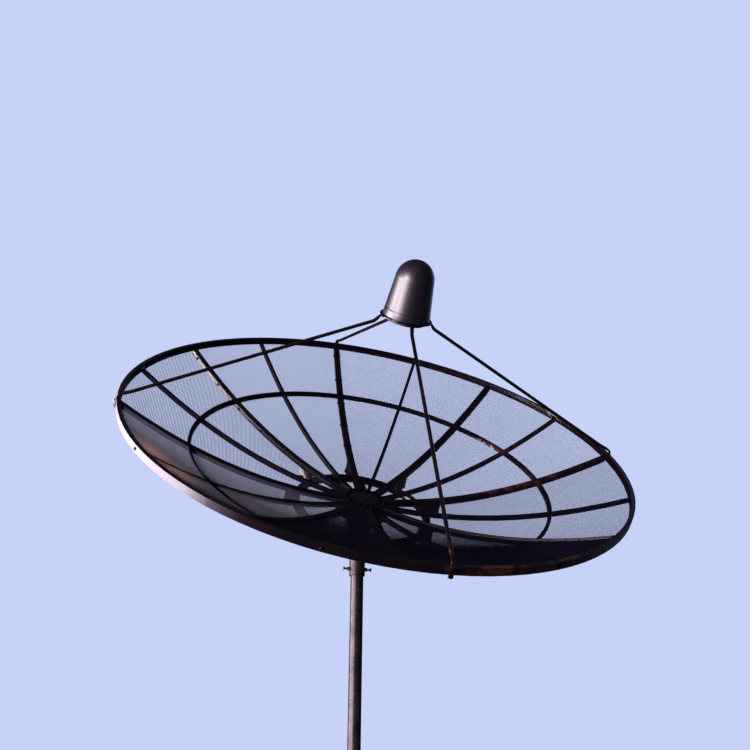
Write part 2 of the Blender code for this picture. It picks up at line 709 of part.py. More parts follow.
POLE_TOP = PIVOT_HEIGHT - CAP_DROP - CAP_THICKNESS - 2 * GAP
pole = tube_mesh(POLE_RADIUS, POLE_RADIUS - POLE_WALL, POLE_TOP, BASE_THICKNESS + GAP, 40)
add_part("pole", pole, GALVANISED, smooth=True)


def base_flange():
    """Square plate with four anchor holes and four welded gussets round the pole."""
    half = BASE_SIDE / 2
    reach = half - BASE_HOLE_INSET
    corners = [(-half, -half), (half, -half), (half, half), (-half, half)]
    holes = [circle(BASE_HOLE_RADIUS, 16, (x * reach, y * reach)) for x in (-1, 1) for y in (-1, 1)]
    plate = plate_mesh([corners, *holes], BASE_THICKNESS)
    plate.transform(Matrix.Translation((0, 0, BASE_THICKNESS / 2)))
    inner = POLE_RADIUS + GAP
    outer = half - GUSSET_INSET
    foot = BASE_THICKNESS - WELD_LAP
    outline = [(inner, foot), (outer, foot), (outer, BASE_THICKNESS + GUSSET_EDGE),
               (inner + GUSSET_EDGE, BASE_THICKNESS + GUSSET_HEIGHT),
               (inner, BASE_THICKNESS + GUSSET_HEIGHT)]
    upright = Matrix.Rotation(math.pi / 2, 4, "X")
    gussets = []
    for quarter in range(4):
        gusset = plate_mesh([outline], GUSSET_THICKNESS)
        gusset.transform(Matrix.Rotation(quarter * math.pi / 2, 4, "Z") @ upright)
        gussets.append(gusset)
    add_part("base_flange", join_solids(plate, gussets), GALVANISED)


base_flange()

bpy.context.view_layer.update()
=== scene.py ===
"""Looks of a 3 m mesh dish antenna on a flanged pole, built up in the order of its assembly."""

import math

import bmesh
import bpy
from mathutils import Matrix, Vector


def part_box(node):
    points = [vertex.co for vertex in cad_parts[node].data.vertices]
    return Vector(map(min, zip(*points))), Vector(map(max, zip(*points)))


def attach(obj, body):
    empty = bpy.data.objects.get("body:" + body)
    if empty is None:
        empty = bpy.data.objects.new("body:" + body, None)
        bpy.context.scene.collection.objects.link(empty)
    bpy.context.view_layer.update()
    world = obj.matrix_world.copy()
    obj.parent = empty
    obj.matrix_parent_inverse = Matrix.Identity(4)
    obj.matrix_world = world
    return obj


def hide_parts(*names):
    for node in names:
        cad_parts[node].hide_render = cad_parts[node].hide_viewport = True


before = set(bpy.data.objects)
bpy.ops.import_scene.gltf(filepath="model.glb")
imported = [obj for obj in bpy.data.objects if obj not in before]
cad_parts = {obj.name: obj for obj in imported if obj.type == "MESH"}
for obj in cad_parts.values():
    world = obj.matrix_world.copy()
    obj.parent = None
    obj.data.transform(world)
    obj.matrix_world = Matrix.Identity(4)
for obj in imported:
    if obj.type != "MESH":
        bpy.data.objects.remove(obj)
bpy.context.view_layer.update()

# Camera, floor and light
# A low viewpoint in front and to the left, looking up into the bowl. Large soft lights low on
# the left graze the rim and the cover. The pale floor has a lamp of its own, and throws no
# light back on the dish, so that the black coat stays black.

CAMERA_PLACE = Vector((-1.5438, -5.4392, 0.8688))
CAMERA_HEADING = math.radians(16.79)
CAMERA_PITCH = math.radians(22.79)
CAMERA_ROLL = math.radians(-0.657)
FOCAL_PIXELS = 947.2
PICTURE_PIXELS = 750
SENSOR_MM = 36.0


def linear(text):
    """An sRGB hex colour as linear RGBA."""
    parts = [int(text[i:i + 2], 16) / 255 for i in (1, 3, 5)]
    return (*[c / 12.92 if c <= 0.04045 else ((c + 0.055) / 1.055) ** 2.4 for c in parts], 1.0)


def add_node(tree, kind, inputs=None, **settings):
    """Add a node, set its properties, and fill its inputs with values or with other nodes' outputs."""
    node = tree.nodes.new(kind)
    for name, value in settings.items():
        setattr(node, name, value)
    for key, value in (inputs or {}).items():
        if isinstance(value, bpy.types.NodeSocket):
            tree.links.new(value, node.inputs[key])
        else:
            node.inputs[key].default_value = value
    return node


forward = Vector((math.sin(CAMERA_HEADING) * math.cos(CAMERA_PITCH),
                  math.cos(CAMERA_HEADING) * math.cos(CAMERA_PITCH), math.sin(CAMERA_PITCH)))
level = forward.cross(Vector((0, 0, 1))).normalized()
below = forward.cross(level)
across = math.cos(CAMERA_ROLL) * level + math.sin(CAMERA_ROLL) * below
downward = math.cos(CAMERA_ROLL) * below - math.sin(CAMERA_ROLL) * level
lens = bpy.data.cameras.new("camera")
lens.sensor_width = SENSOR_MM
lens.lens = SENSOR_MM * FOCAL_PIXELS / PICTURE_PIXELS
camera = bpy.data.objects.new("camera", lens)
turned_axes = Matrix((across, -downward, -forward)).transposed()
camera.matrix_world = Matrix.Translation(CAMERA_PLACE) @ turned_axes.to_4x4()
bpy.context.scene.collection.objects.link(camera)
bpy.context.scene.camera = camera

FLOOR_RADIUS = 60.0
floor_shape = bmesh.new()
bmesh.ops.create_circle(floor_shape, cap_ends=True, segments=96, radius=FLOOR_RADIUS)
floor_mesh = bpy.data.meshes.new("floor")
floor_shape.to_mesh(floor_mesh)
floor_shape.free()
floor = bpy.data.objects.new("floor", floor_mesh)
bpy.context.scene.collection.objects.link(floor)
floor_paint = bpy.data.materials.new("matt_pale_floor")
floor_paint.use_nodes = True
floor_shader = floor_paint.node_tree.nodes["Principled BSDF"]
floor_shader.inputs["Base Color"].default_value = linear("#d9dde3")
floor_shader.inputs["Roughness"].default_value = 0.9
floor_mesh.materials.append(floor_paint)
floor.visible_diffuse = False
floor.visible_glossy = False

BACKDROP = "#c6d2f8"
SOFT_FILL = "#b4b6d8"
FILL_STRENGTH = 0.10
world = bpy.data.worlds.new("studio")
world.use_nodes = True
bpy.context.scene.world = world
bpy.context.scene.view_settings.view_transform = "Standard"
sky = world.node_tree
sky.nodes.clear()
seen = add_node(sky, "ShaderNodeBackground", {"Color": linear(BACKDROP), "Strength": 1.0})
fill = add_node(sky, "ShaderNodeBackground", {"Color": linear(SOFT_FILL), "Strength": FILL_STRENGTH})
ray = add_node(sky, "ShaderNodeLightPath")
either = add_node(sky, "ShaderNodeMixShader", {0: ray.outputs["Is Camera Ray"], 1: fill.outputs[0],
                                               2: seen.outputs[0]})
add_node(sky, "ShaderNodeOutputWorld", {"Surface": either.outputs[0]})


def floor_group(name, state):
    """A collection that takes the floor into, or leaves it out of, what a lamp lights."""
    group = bpy.data.collections.new(name)
    group.objects.link(floor)
    for member in group.collection_objects:
        member.light_linking.link_state = state
    return group


ALL_BUT_FLOOR = floor_group("all_but_floor", "EXCLUDE")
ONLY_FLOOR = floor_group("only_floor", "INCLUDE")


LIT_PLACE = Vector((0, -0.4, 2.7))


def soft_light(name, direction, distance, size, power, colour):
    """A square area light facing the dish from one direction, which leaves the floor unlit."""
    lamp = bpy.data.lights.new(name, "AREA")
    lamp.size = size
    lamp.energy = power
    lamp.color = linear(colour)[:3]
    holder = bpy.data.objects.new(name, lamp)
    away = Vector(direction).normalized()
    holder.location = LIT_PLACE + away * distance
    holder.rotation_mode = "QUATERNION"
    holder.rotation_quaternion = away.to_track_quat("Z", "Y")
    holder.visible_camera = False
    holder.light_linking.receiver_collection = ALL_BUT_FLOOR
    bpy.context.scene.collection.objects.link(holder)


soft_light("key_left", (-0.95, 0.28, -0.03), 8.0, 4.2, 1400, "#fdf3f6")
soft_light("left_front", (-0.907, -0.404, -0.122), 7.5, 3.5, 1050, "#f6dfee")
soft_light("cool_right", (0.75, 0.45, 0.50), 9.0, 4.0, 60, "#9fb4ff")
soft_light("front_soft", (-0.30, -0.80, 0.55), 9.0, 6.0, 18, "#d9d8ff")

FLOOR_LAMP_STRENGTH = 3.2
FLOOR_LAMP_SPREAD = math.radians(30)
FLOOR_LAMP_TILT = (math.radians(12), math.radians(16), 0)
floor_lamp = bpy.data.lights.new("floor_lamp", "SUN")
floor_lamp.energy = FLOOR_LAMP_STRENGTH
floor_lamp.angle = FLOOR_LAMP_SPREAD
floor_holder = bpy.data.objects.new("floor_lamp", floor_lamp)
floor_holder.rotation_euler = FLOOR_LAMP_TILT
floor_holder.light_linking.receiver_collection = ONLY_FLOOR
bpy.context.scene.collection.objects.link(floor_holder)


# Pole, base flange and their anchors
# Welded steel tube and plate, hot-dip galvanised and weathered, with the grey darkened by painted
# shade to a dark, warm grey; soft spangle, darker streaks down the tube, and zinc on the anchor nuts.

def shader_tree(name):
    """A new material with its node tree and its Principled shader."""
    material = bpy.data.materials.new(name)
    material.use_nodes = True
    tree = material.node_tree
    return material, tree, tree.nodes["Principled BSDF"]


def set_inputs(shader, values):
    """Set constants on a shader's own sockets."""
    for name, value in values.items():
        shader.inputs[name].default_value = value


def blend_colours(tree, factor, first, second):
    """Mix two colours or sockets by a factor and return the result's socket."""
    mixer = add_node(tree, "ShaderNodeMix", {0: factor, 6: first, 7: second}, data_type="RGBA")
    return mixer.outputs[2]


def stretch(tree, value, low, high, to_low=0.0, to_high=1.0):
    """Map a value smoothly from one range to another."""
    mapped = add_node(tree, "ShaderNodeMapRange",
                      {0: value, 1: low, 2: high, 3: to_low, 4: to_high}, interpolation_type="SMOOTHSTEP")
    return mapped.outputs[0]


def noise(tree, where, size_mm, detail=3.0, roughness=0.55):
    """Noise whose blotches are about size_mm across."""
    texture = add_node(tree, "ShaderNodeTexNoise", {"Vector": where, "Scale": 1000.0 / size_mm,
                                                    "Detail": detail, "Roughness": roughness})
    return texture.outputs[0]


def bump(tree, height, depth_mm, strength=1.0):
    """A bump whose full height is depth_mm."""
    raised = add_node(tree, "ShaderNodeBump", {"Strength": strength, "Distance": depth_mm / 1000,
                                               "Height": height})
    return raised.outputs[0]


def galvanised_steel():
    """Weathered hot-dip zinc: a dark warm grey from painted shade, spangle facets about 14 mm across, soft
    patches.
    """
    material, tree, shader = shader_tree("galvanised_steel_in_painted_shade")
    where = add_node(tree, "ShaderNodeTexCoord").outputs["Object"]
    spangle = add_node(tree, "ShaderNodeTexVoronoi", {"Vector": where, "Scale": 1000.0 / 14}, feature="F1")
    facet = add_node(tree, "ShaderNodeSeparateColor", {0: spangle.outputs["Color"]}).outputs[0]
    patches = noise(tree, where, 90)
    streaks_at = add_node(tree, "ShaderNodeMapping", {"Vector": where, "Scale": (1.0, 1.0, 0.08)})
    streaks = noise(tree, streaks_at.outputs[0], 25)
    # Painted shade: both zinc tones are set far below bright zinc, to stand in for the shade on the tube.
    zinc = blend_colours(tree, facet, linear("#352d31"), linear("#41373c"))
    dull = blend_colours(tree, stretch(tree, patches, 0.35, 0.7), zinc, linear("#272024"))
    stained = blend_colours(tree, stretch(tree, streaks, 0.58, 0.78, 0.0, 0.6), dull, linear("#211a1c"))
    tree.links.new(stained, shader.inputs["Base Color"])
    tree.links.new(stretch(tree, facet, 0.0, 1.0, 0.34, 0.46), shader.inputs["Roughness"])
    tree.links.new(bump(tree, patches, 0.3), shader.inputs["Normal"])
    set_inputs(shader, {"Metallic": 0.6})
    return material


def zinc_bolt():
    """Bright zinc plating on rolled and forged fasteners, slightly yellowed in places."""
    material, tree, shader = shader_tree("zinc_plated_bolt_steel")
    where = add_node(tree, "ShaderNodeTexCoord").outputs["Object"]
    cloud = noise(tree, where, 12)
    colour = blend_colours(tree, stretch(tree, cloud, 0.4, 0.65), linear("#a9a49d"), linear("#8c7f6a"))
    tree.links.new(colour, shader.inputs["Base Color"])
    tree.links.new(stretch(tree, cloud, 0.3, 0.7, 0.28, 0.46), shader.inputs["Roughness"])
    set_inputs(shader, {"Metallic": 1.0})
    return material


GALVANISED = galvanised_steel()
ZINC = zinc_bolt()
# Edges sharper than this stay sharp; flats within the second angle are one face
SMOOTH_ANGLE = math.radians(32)
FLAT_ANGLE = math.radians(0.3)
WELD_GAP = 0.00002


def place(name, mesh, material, body, replaced=(), smooth=True):
    """Make a finished mesh an object at the origin, and fix it to its body."""
    mesh.name = name
    mesh.materials.clear()
    mesh.materials.append(material)
    if smooth:
        mesh.shade_smooth()
        mesh.set_sharp_from_angle(angle=SMOOTH_ANGLE)
    piece = bpy.data.objects.new(name, mesh)
    bpy.context.scene.collection.objects.link(piece)
    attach(piece, body)
    if replaced:
        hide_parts(*replaced)
    return piece


def baked(holder):
    """The mesh that an object's modifiers give; the object is removed."""
    bpy.context.scene.collection.objects.link(holder)
    graph = bpy.context.evaluated_depsgraph_get()
    mesh = bpy.data.meshes.new_from_object(holder.evaluated_get(graph))
    bpy.data.objects.remove(holder, do_unlink=True)
    return mesh


def eased(mesh, width, segments=2):
    """The mesh with its hard edges rounded by a bevel."""
    holder = bpy.data.objects.new("easing", mesh)
    modifier = holder.modifiers.new("round", "BEVEL")
    modifier.width = width
    modifier.segments = segments
    modifier.limit_method = "ANGLE"
    modifier.angle_limit = SMOOTH_ANGLE
    return baked(holder)


def merged_copy(node):
    """A CAD node's mesh as one welded surface."""
    shape = bmesh.new()
    shape.from_mesh(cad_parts[node].data)
    bmesh.ops.remove_doubles(shape, verts=shape.verts, dist=WELD_GAP)
    bmesh.ops.dissolve_limit(shape, angle_limit=FLAT_ANGLE, verts=shape.verts, edges=shape.edges)
    mesh = bpy.data.meshes.new(node)
    shape.to_mesh(mesh)
    shape.free()
    return mesh


def finish_node(node, material, body, width=0.0):
    """Show a CAD node as a welded, softly shaded copy, with eased edges where width is given."""
    mesh = merged_copy(node)
    if width:
        mesh = eased(mesh, width)
    return place(node + "_finished", mesh, material, body, replaced=[node])


def turned(profile, steps, closed=True):
    """A body turned about Z from a (radius, height) outline that runs down its outer side."""
    flat = bpy.data.meshes.new("profile")
    count = len(profile)
    edges = [(i, (i + 1) % count) for i in range(count if closed else count - 1)]
    flat.from_pydata([(radius, 0, height) for radius, height in profile], edges, [])
    holder = bpy.data.objects.new("profile", flat)
    screw = holder.modifiers.new("turn", "SCREW")
    screw.steps = steps
    screw.render_steps = steps
    screw.use_merge_vertices = True
    screw.merge_threshold = WELD_GAP
    mesh = baked(holder)
    shape = bmesh.new()
    shape.from_mesh(mesh)
    bmesh.ops.remove_doubles(shape, verts=shape.verts, dist=WELD_GAP)
    bmesh.ops.recalc_face_normals(shape, faces=shape.faces)
    if shape.calc_volume(signed=True) < 0:
        bmesh.ops.reverse_faces(shape, faces=shape.faces)
    shape.to_mesh(mesh)
    shape.free()
    return mesh


def bead(radius, height, section, steps=64):
    """A weld bead round Z with an eight-sided, closed section."""
    profile = []
    for side in range(8):
        angle = math.pi / 2 - side * math.pi / 4
        profile.append((radius + section * math.cos(angle), height + section * math.sin(angle)))
    return turned(profile, steps)


pole_low, pole_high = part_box("pole")
POLE_RADIUS = (pole_high.x - pole_low.x) / 2
PLATE_TOP = pole_low.z
ANCHOR_REACH = 0.135
finish_node("pole", GALVANISED, "base")
finish_node("base_flange", GALVANISED, "base", 0.0015)
place("pole_foot_weld", bead(POLE_RADIUS + 0.002, PLATE_TOP + 0.002, 0.005), GALVANISED, "base")


def socket_numbers(tree, sizes):
    """Declare named float inputs on a node tree, with the geometry output first."""
    tree.interface.new_socket("Geometry", in_out="OUTPUT", socket_type="NodeSocketGeometry")
    for name in sizes:
        tree.interface.new_socket(name, in_out="INPUT", socket_type="NodeSocketFloat")
    tree.interface.new_socket("Finish", in_out="INPUT", socket_type="NodeSocketMaterial")


def run_tree(tree, sizes, material):
    """Evaluate a node tree on an empty mesh with its inputs set by identifier."""
    holder = bpy.data.objects.new("maker", bpy.data.meshes.new("maker"))
    modifier = holder.modifiers.new("make", "NODES")
    modifier.node_group = tree
    for item in tree.interface.items_tree:
        if item.in_out == "INPUT":
            value = material if item.name == "Finish" else float(sizes[item.name])
            modifier[item.identifier] = value
    return baked(holder)


def calculate(tree, operation, first, second=0.0, third=0.0):
    """One step of arithmetic on numbers or sockets."""
    return add_node(tree, "ShaderNodeMath", {0: first, 1: second, 2: third}, operation=operation).outputs[0]


def end_tree(tree, geometry, finish):
    """Close a tree with Realize Instances and Set Material."""
    real = add_node(tree, "GeometryNodeRealizeInstances", {"Geometry": geometry})
    painted = add_node(tree, "GeometryNodeSetMaterial", {"Geometry": real.outputs[0], "Material": finish})
    add_node(tree, "NodeGroupOutput", {0: painted.outputs[0]})


FASTENER_SIZES = ("First Radius", "Last Radius", "Rings", "First Angle", "Angle Step", "Per Ring",
                  "Four Focal Lengths", "Lift", "Sideways", "Along Axis", "Along Turn", "Along Radius",
                  "Head Radius", "Head Height", "Head Sides", "Washer Radius", "Washer Height")
# A head's chamfered crown: its top as a share of the head's radius, its height of the head's height
CROWN_SHARES = (0.8, 0.22)


def fastener_tree():
    """Screws or bolts at even steps on rings round an axis, square to a dish or a flat plate."""
    tree = bpy.data.node_groups.new("fasteners_on_rings", "GeometryNodeTree")
    socket_numbers(tree, FASTENER_SIZES)
    given = add_node(tree, "NodeGroupInput").outputs
    index = add_node(tree, "GeometryNodeInputIndex").outputs[0]
    ring = calculate(tree, "FLOOR", calculate(tree, "DIVIDE", calculate(tree, "ADD", index, 0.01),
                                              given["Per Ring"]))
    place_in_ring = calculate(tree, "SUBTRACT", index, calculate(tree, "MULTIPLY", ring, given["Per Ring"]))
    last_ring = calculate(tree, "MAXIMUM", calculate(tree, "SUBTRACT", given["Rings"], 1.0), 1.0)
    spread = calculate(tree, "SUBTRACT", given["Last Radius"], given["First Radius"])
    share = calculate(tree, "DIVIDE", ring, last_ring)
    radius = calculate(tree, "MULTIPLY_ADD", spread, share, given["First Radius"])
    angle = calculate(tree, "MULTIPLY_ADD", place_in_ring, given["Angle Step"], given["First Angle"])
    cosine = calculate(tree, "COSINE", angle)
    sine = calculate(tree, "SINE", angle)
    outward = add_node(tree, "ShaderNodeCombineXYZ", {0: cosine, 1: sine, 2: 0.0}).outputs[0]
    sideways = add_node(tree, "ShaderNodeCombineXYZ",
                        {0: calculate(tree, "MULTIPLY", sine, -1.0), 1: cosine, 2: 0.0}).outputs[0]
    rise = calculate(tree, "DIVIDE", calculate(tree, "MULTIPLY", radius, radius), given["Four Focal Lengths"])
    height = calculate(tree, "ADD", rise, given["Lift"])
    slope = calculate(tree, "DIVIDE", calculate(tree, "MULTIPLY", radius, -2.0), given["Four Focal Lengths"])

    def scaled(vector, amount):
        longer = add_node(tree, "ShaderNodeVectorMath", {0: vector, "Scale": amount}, operation="SCALE")
        return longer.outputs[0]

    def total(*vectors):
        result = vectors[0]
        for vector in vectors[1:]:
            both = add_node(tree, "ShaderNodeVectorMath", {0: result, 1: vector}, operation="ADD")
            result = both.outputs[0]
        return result

    upright = add_node(tree, "ShaderNodeCombineXYZ", {2: height}).outputs[0]
    spot = total(scaled(outward, radius), scaled(sideways, given["Sideways"]), upright)
    square = add_node(tree, "ShaderNodeVectorMath", {0: total(scaled(outward, slope), (0.0, 0.0, 1.0))},
                      operation="NORMALIZE").outputs[0]
    pointing = total(scaled(square, given["Along Axis"]), scaled(sideways, given["Along Turn"]),
                     scaled(outward, given["Along Radius"]))
    facing = add_node(tree, "FunctionNodeAlignRotationToVector", {"Vector": pointing}, axis="Z").outputs[0]
    count = calculate(tree, "MULTIPLY", given["Rings"], given["Per Ring"])
    spots = add_node(tree, "GeometryNodePoints", {"Count": count, "Position": spot}).outputs[0]

    def drum(sides, wide, tall, lift):
        body = add_node(tree, "GeometryNodeMeshCylinder",
                        {"Vertices": sides, "Radius": wide, "Depth": tall}).outputs[0]
        shift = add_node(tree, "ShaderNodeCombineXYZ", {2: lift}).outputs[0]
        return add_node(tree, "GeometryNodeTransform", {"Geometry": body, "Translation": shift}).outputs[0]

    washer_middle = calculate(tree, "MULTIPLY", given["Washer Height"], 0.5)
    head_middle = calculate(tree, "MULTIPLY_ADD", given["Head Height"], 0.5, given["Washer Height"])
    washer = drum(16, given["Washer Radius"], given["Washer Height"], washer_middle)
    head = drum(given["Head Sides"], given["Head Radius"], given["Head Height"], head_middle)
    crown_foot = calculate(tree, "ADD", given["Washer Height"], given["Head Height"])
    crown_wide, crown_tall = CROWN_SHARES
    cone = add_node(tree, "GeometryNodeMeshCone",
                    {"Vertices": given["Head Sides"], "Radius Bottom": given["Head Radius"],
                     "Radius Top": calculate(tree, "MULTIPLY", given["Head Radius"], crown_wide),
                     "Depth": calculate(tree, "MULTIPLY", given["Head Height"], crown_tall)}).outputs[0]
    crown_shift = add_node(tree, "ShaderNodeCombineXYZ", {2: crown_foot}).outputs[0]
    crown = add_node(tree, "GeometryNodeTransform", {"Geometry": cone, "Translation": crown_shift}).outputs[0]
    join = add_node(tree, "GeometryNodeJoinGeometry")
    for part in (washer, head, crown):
        tree.links.new(part, join.inputs[0])
    copies = add_node(tree, "GeometryNodeInstanceOnPoints",
                      {"Points": spots, "Instance": join.outputs[0], "Rotation": facing}).outputs[0]
    end_tree(tree, copies, given["Finish"])
    return tree


FASTENERS = fastener_tree()
# A flat plate is a dish whose four focal lengths are endless
NO_DISH = 1.0e9


def fasteners(name, body, material, slot, place_in, kind, **where):
    """Make one group of like fasteners and fix it to its body."""
    sizes = {"Last Radius": where["First_Radius"], "Rings": 1, "First Angle": 0.0, "Angle Step": 0.0,
             "Per Ring": 1, "Four Focal Lengths": NO_DISH, "Lift": 0.0, "Sideways": 0.0,
             "Along Axis": 0.0, "Along Turn": 0.0, "Along Radius": 0.0}
    sizes.update(kind)
    sizes.update({key.replace("_", " "): value for key, value in where.items()})
    mesh = run_tree(FASTENERS, sizes, material)
    mesh.transform(place_in)
    return place(name, mesh, material, body, smooth=False)


M20_NUT = {"Head Radius": 0.0175, "Head Height": 0.015, "Head Sides": 6, "Washer Radius": 0.0205,
           "Washer Height": 0.003}
ANCHOR_STUD = {"Head Radius": 0.0095, "Head Height": 0.030, "Head Sides": 12, "Washer Radius": 0.0096,
               "Washer Height": 0.0005}
QUARTER = math.pi / 2
for anchor_name, anchor_kind in (("anchor_nuts", M20_NUT), ("anchor_studs", ANCHOR_STUD)):
    fasteners(anchor_name, "base", ZINC, "bolt_steel", Matrix(), anchor_kind,
              First_Radius=ANCHOR_REACH * math.sqrt(2), First_Angle=QUARTER / 2, Angle_Step=QUARTER,
              Per_Ring=4, Lift=PLATE_TOP, Along_Axis=1.0)


# Mount head: sleeve, yoke, hinge pin, clamp bolt and set bolts
# A galvanised pipe slipped over the pole under a cap plate with two ears. The sleeve is
# welded to the cap all round, and two set bolts bite on the pole.

sleeve_low, sleeve_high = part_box("pole_sleeve")
SLEEVE_RADIUS = (sleeve_high.x - sleeve_low.x) / 2
finish_node("pole_sleeve", GALVANISED, "mount_head")
finish_node("yoke", GALVANISED, "mount_head", 0.0012)
for bolt_node in ("hinge_pin", "elevation_clamp_bolt", "set_bolt_left", "set_bolt_right"):
    finish_node(bolt_node, ZINC, "mount_head", 0.0006)
place("sleeve_weld", bead(SLEEVE_RADIUS + 0.001, sleeve_high.z - 0.002, 0.004), GALVANISED, "mount_head")


# Back frame: channels and quadrant
# Square tubes and a slotted plate of the same black powder-coated steel as the reflector's
# frames. The coat has gone brown where it weathered, and rust shows through in patches.

def middle_of(node):
    """The middle of a node's box."""
    low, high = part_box(node)
    return (low + high) / 2


FOCAL_LENGTH = 1.195
FOUR_FOCAL = 4 * FOCAL_LENGTH
HUB_PLATE_MIDDLE = 0.01047
dish_axis = (middle_of("feed_support_ring") - middle_of("hub_front_plate")).normalized()
hinge_line = Vector((1, 0, 0))
up_dish = dish_axis.cross(hinge_line)
vertex = middle_of("hub_front_plate") - dish_axis * HUB_PLATE_MIDDLE
DISH = Matrix.Translation(vertex) @ Matrix((hinge_line, up_dish, dish_axis)).transposed().to_4x4()


def dish_point(radius, degrees, lift=0.0):
    """A point over the reflecting surface, in the object's own frame."""
    angle = math.radians(degrees)
    height = radius * radius / FOUR_FOCAL + lift
    return DISH @ Vector((radius * math.cos(angle), radius * math.sin(angle), height))


RIM_RADIUS = 1.500
# Where the coat is rusted through: a spot on the dish, and how far the rust reaches from it
RUST_SPOTS = ((dish_point(1.075, 27), 0.30), (dish_point(0.95, 3), 0.50), (dish_point(1.30, 8), 0.35),
              (dish_point(RIM_RADIUS, 285), 0.85))
# Where a highlight is painted on the rim's outer face: the middle of that stretch, and how far it goes
PAINTED_HIGHLIGHT_DEGREES = 198
PAINTED_HIGHLIGHT_AT = dish_point(RIM_RADIUS, PAINTED_HIGHLIGHT_DEGREES, -0.015)
PAINTED_HIGHLIGHT_REACH = 0.95
rim_middle = dish_point(0.0, 0, RIM_RADIUS ** 2 / FOUR_FOCAL)
PAINTED_HIGHLIGHT_OUTWARD = (dish_point(RIM_RADIUS, PAINTED_HIGHLIGHT_DEGREES) - rim_middle).normalized()


def nearness(tree, where, spots, inner_share):
    """1 near any of the spots, falling to 0 at each one's reach."""
    nearest = None
    for spot, reach in spots:
        apart = add_node(tree, "ShaderNodeVectorMath", {0: where, 1: spot}, operation="DISTANCE")
        closeness = stretch(tree, apart.outputs["Value"], reach * inner_share, reach, 1.0, 0.0)
        nearest = closeness if nearest is None else calculate(tree, "MAXIMUM", nearest, closeness)
    return nearest


def powder_coat():
    """Black polyester powder coat on steel: orange-peel skin, maroon fading, rust, and a painted highlight on
    the rim's outer face.
    """
    material, tree, shader = shader_tree("weathered_black_powder_coat")
    where = add_node(tree, "ShaderNodeTexCoord").outputs["Object"]
    fading = noise(tree, where, 160)
    mottle = noise(tree, where, 14, 4.0, 0.6)
    flecks = noise(tree, where, 75, 5.0, 0.6)
    coat = blend_colours(tree, stretch(tree, fading, 0.38, 0.68), linear("#0a0709"), linear("#180b10"))
    near_rust = nearness(tree, where, RUST_SPOTS, 0.2)
    threshold = calculate(tree, "MULTIPLY_ADD", near_rust, -0.42, 0.80)
    excess = calculate(tree, "SUBTRACT", flecks, threshold)
    rusted = stretch(tree, excess, 0.0, 0.22, 0.0, 0.9)
    rust = blend_colours(tree, stretch(tree, mottle, 0.3, 0.7), linear("#2c100e"), linear("#6b3828"))
    colour = blend_colours(tree, rusted, coat, rust)
    # Painted highlight: along one stretch of the rim, the outward faces are lightened to a pale grey where
    # the key light falls.
    normal = add_node(tree, "ShaderNodeNewGeometry").outputs["Normal"]
    facing = add_node(tree, "ShaderNodeVectorMath", {0: normal, 1: PAINTED_HIGHLIGHT_OUTWARD}, operation="DOT_PRODUCT")
    outer_face = stretch(tree, facing.outputs["Value"], 0.60, 0.85)
    near_painted_highlight = nearness(tree, where, ((PAINTED_HIGHLIGHT_AT, PAINTED_HIGHLIGHT_REACH),), 0.15)
    painted_highlight = calculate(tree, "MULTIPLY", near_painted_highlight, outer_face)
    colour = blend_colours(tree, painted_highlight, colour, linear("#817d87"))
    tree.links.new(colour, shader.inputs["Base Color"])
    # Roughness rises with the rust and with the painted highlight.
    rust_and_painted_highlight = calculate(tree, "MAXIMUM", rusted, painted_highlight)
    tree.links.new(stretch(tree, rust_and_painted_highlight, 0.0, 1.0, 0.19, 0.70), shader.inputs["Roughness"])
    # Real orange peel is about 2 mm across; it is drawn 5 mm across so that it shows
    skin = noise(tree, where, 5, 2.0)
    relief = calculate(tree, "MULTIPLY_ADD", rusted, mottle, skin)
    tree.links.new(bump(tree, relief, 0.25, 0.3), shader.inputs["Normal"])
    set_inputs(shader, {"IOR": 1.45})
    return material


COAT = powder_coat()


def black_plug():
    """Moulded polyethylene plugs: matt black with a fine grain."""
    material, tree, shader = shader_tree("moulded_polyethylene_plug")
    where = add_node(tree, "ShaderNodeTexCoord").outputs["Object"]
    grain = noise(tree, where, 2)
    colour = blend_colours(tree, grain, linear("#0c0c0d"), linear("#17171a"))
    tree.links.new(colour, shader.inputs["Base Color"])
    tree.links.new(bump(tree, grain, 0.1, 0.4), shader.inputs["Normal"])
    set_inputs(shader, {"Roughness": 0.6})
    return material


def black_oxide_bolt():
    """Black-oxide bolts and screws: oily near-black with the steel showing where they rubbed."""
    material, tree, shader = shader_tree("black_oxide_bolt_steel")
    where = add_node(tree, "ShaderNodeTexCoord").outputs["Object"]
    rubbed = noise(tree, where, 30, 4.0, 0.7)
    colour = blend_colours(tree, stretch(tree, rubbed, 0.58, 0.72), linear("#171114"), linear("#5c4f4e"))
    tree.links.new(colour, shader.inputs["Base Color"])
    tree.links.new(stretch(tree, rubbed, 0.3, 0.7, 0.50, 0.34), shader.inputs["Roughness"])
    set_inputs(shader, {"Metallic": 0.9})
    return material


PLUG = black_plug()
BLACK_BOLT = black_oxide_bolt()
for side in ("right", "left"):
    finish_node(f"back_channel_{side}", COAT, "reflector", 0.0015)
finish_node("elevation_quadrant", COAT, "reflector", 0.001)

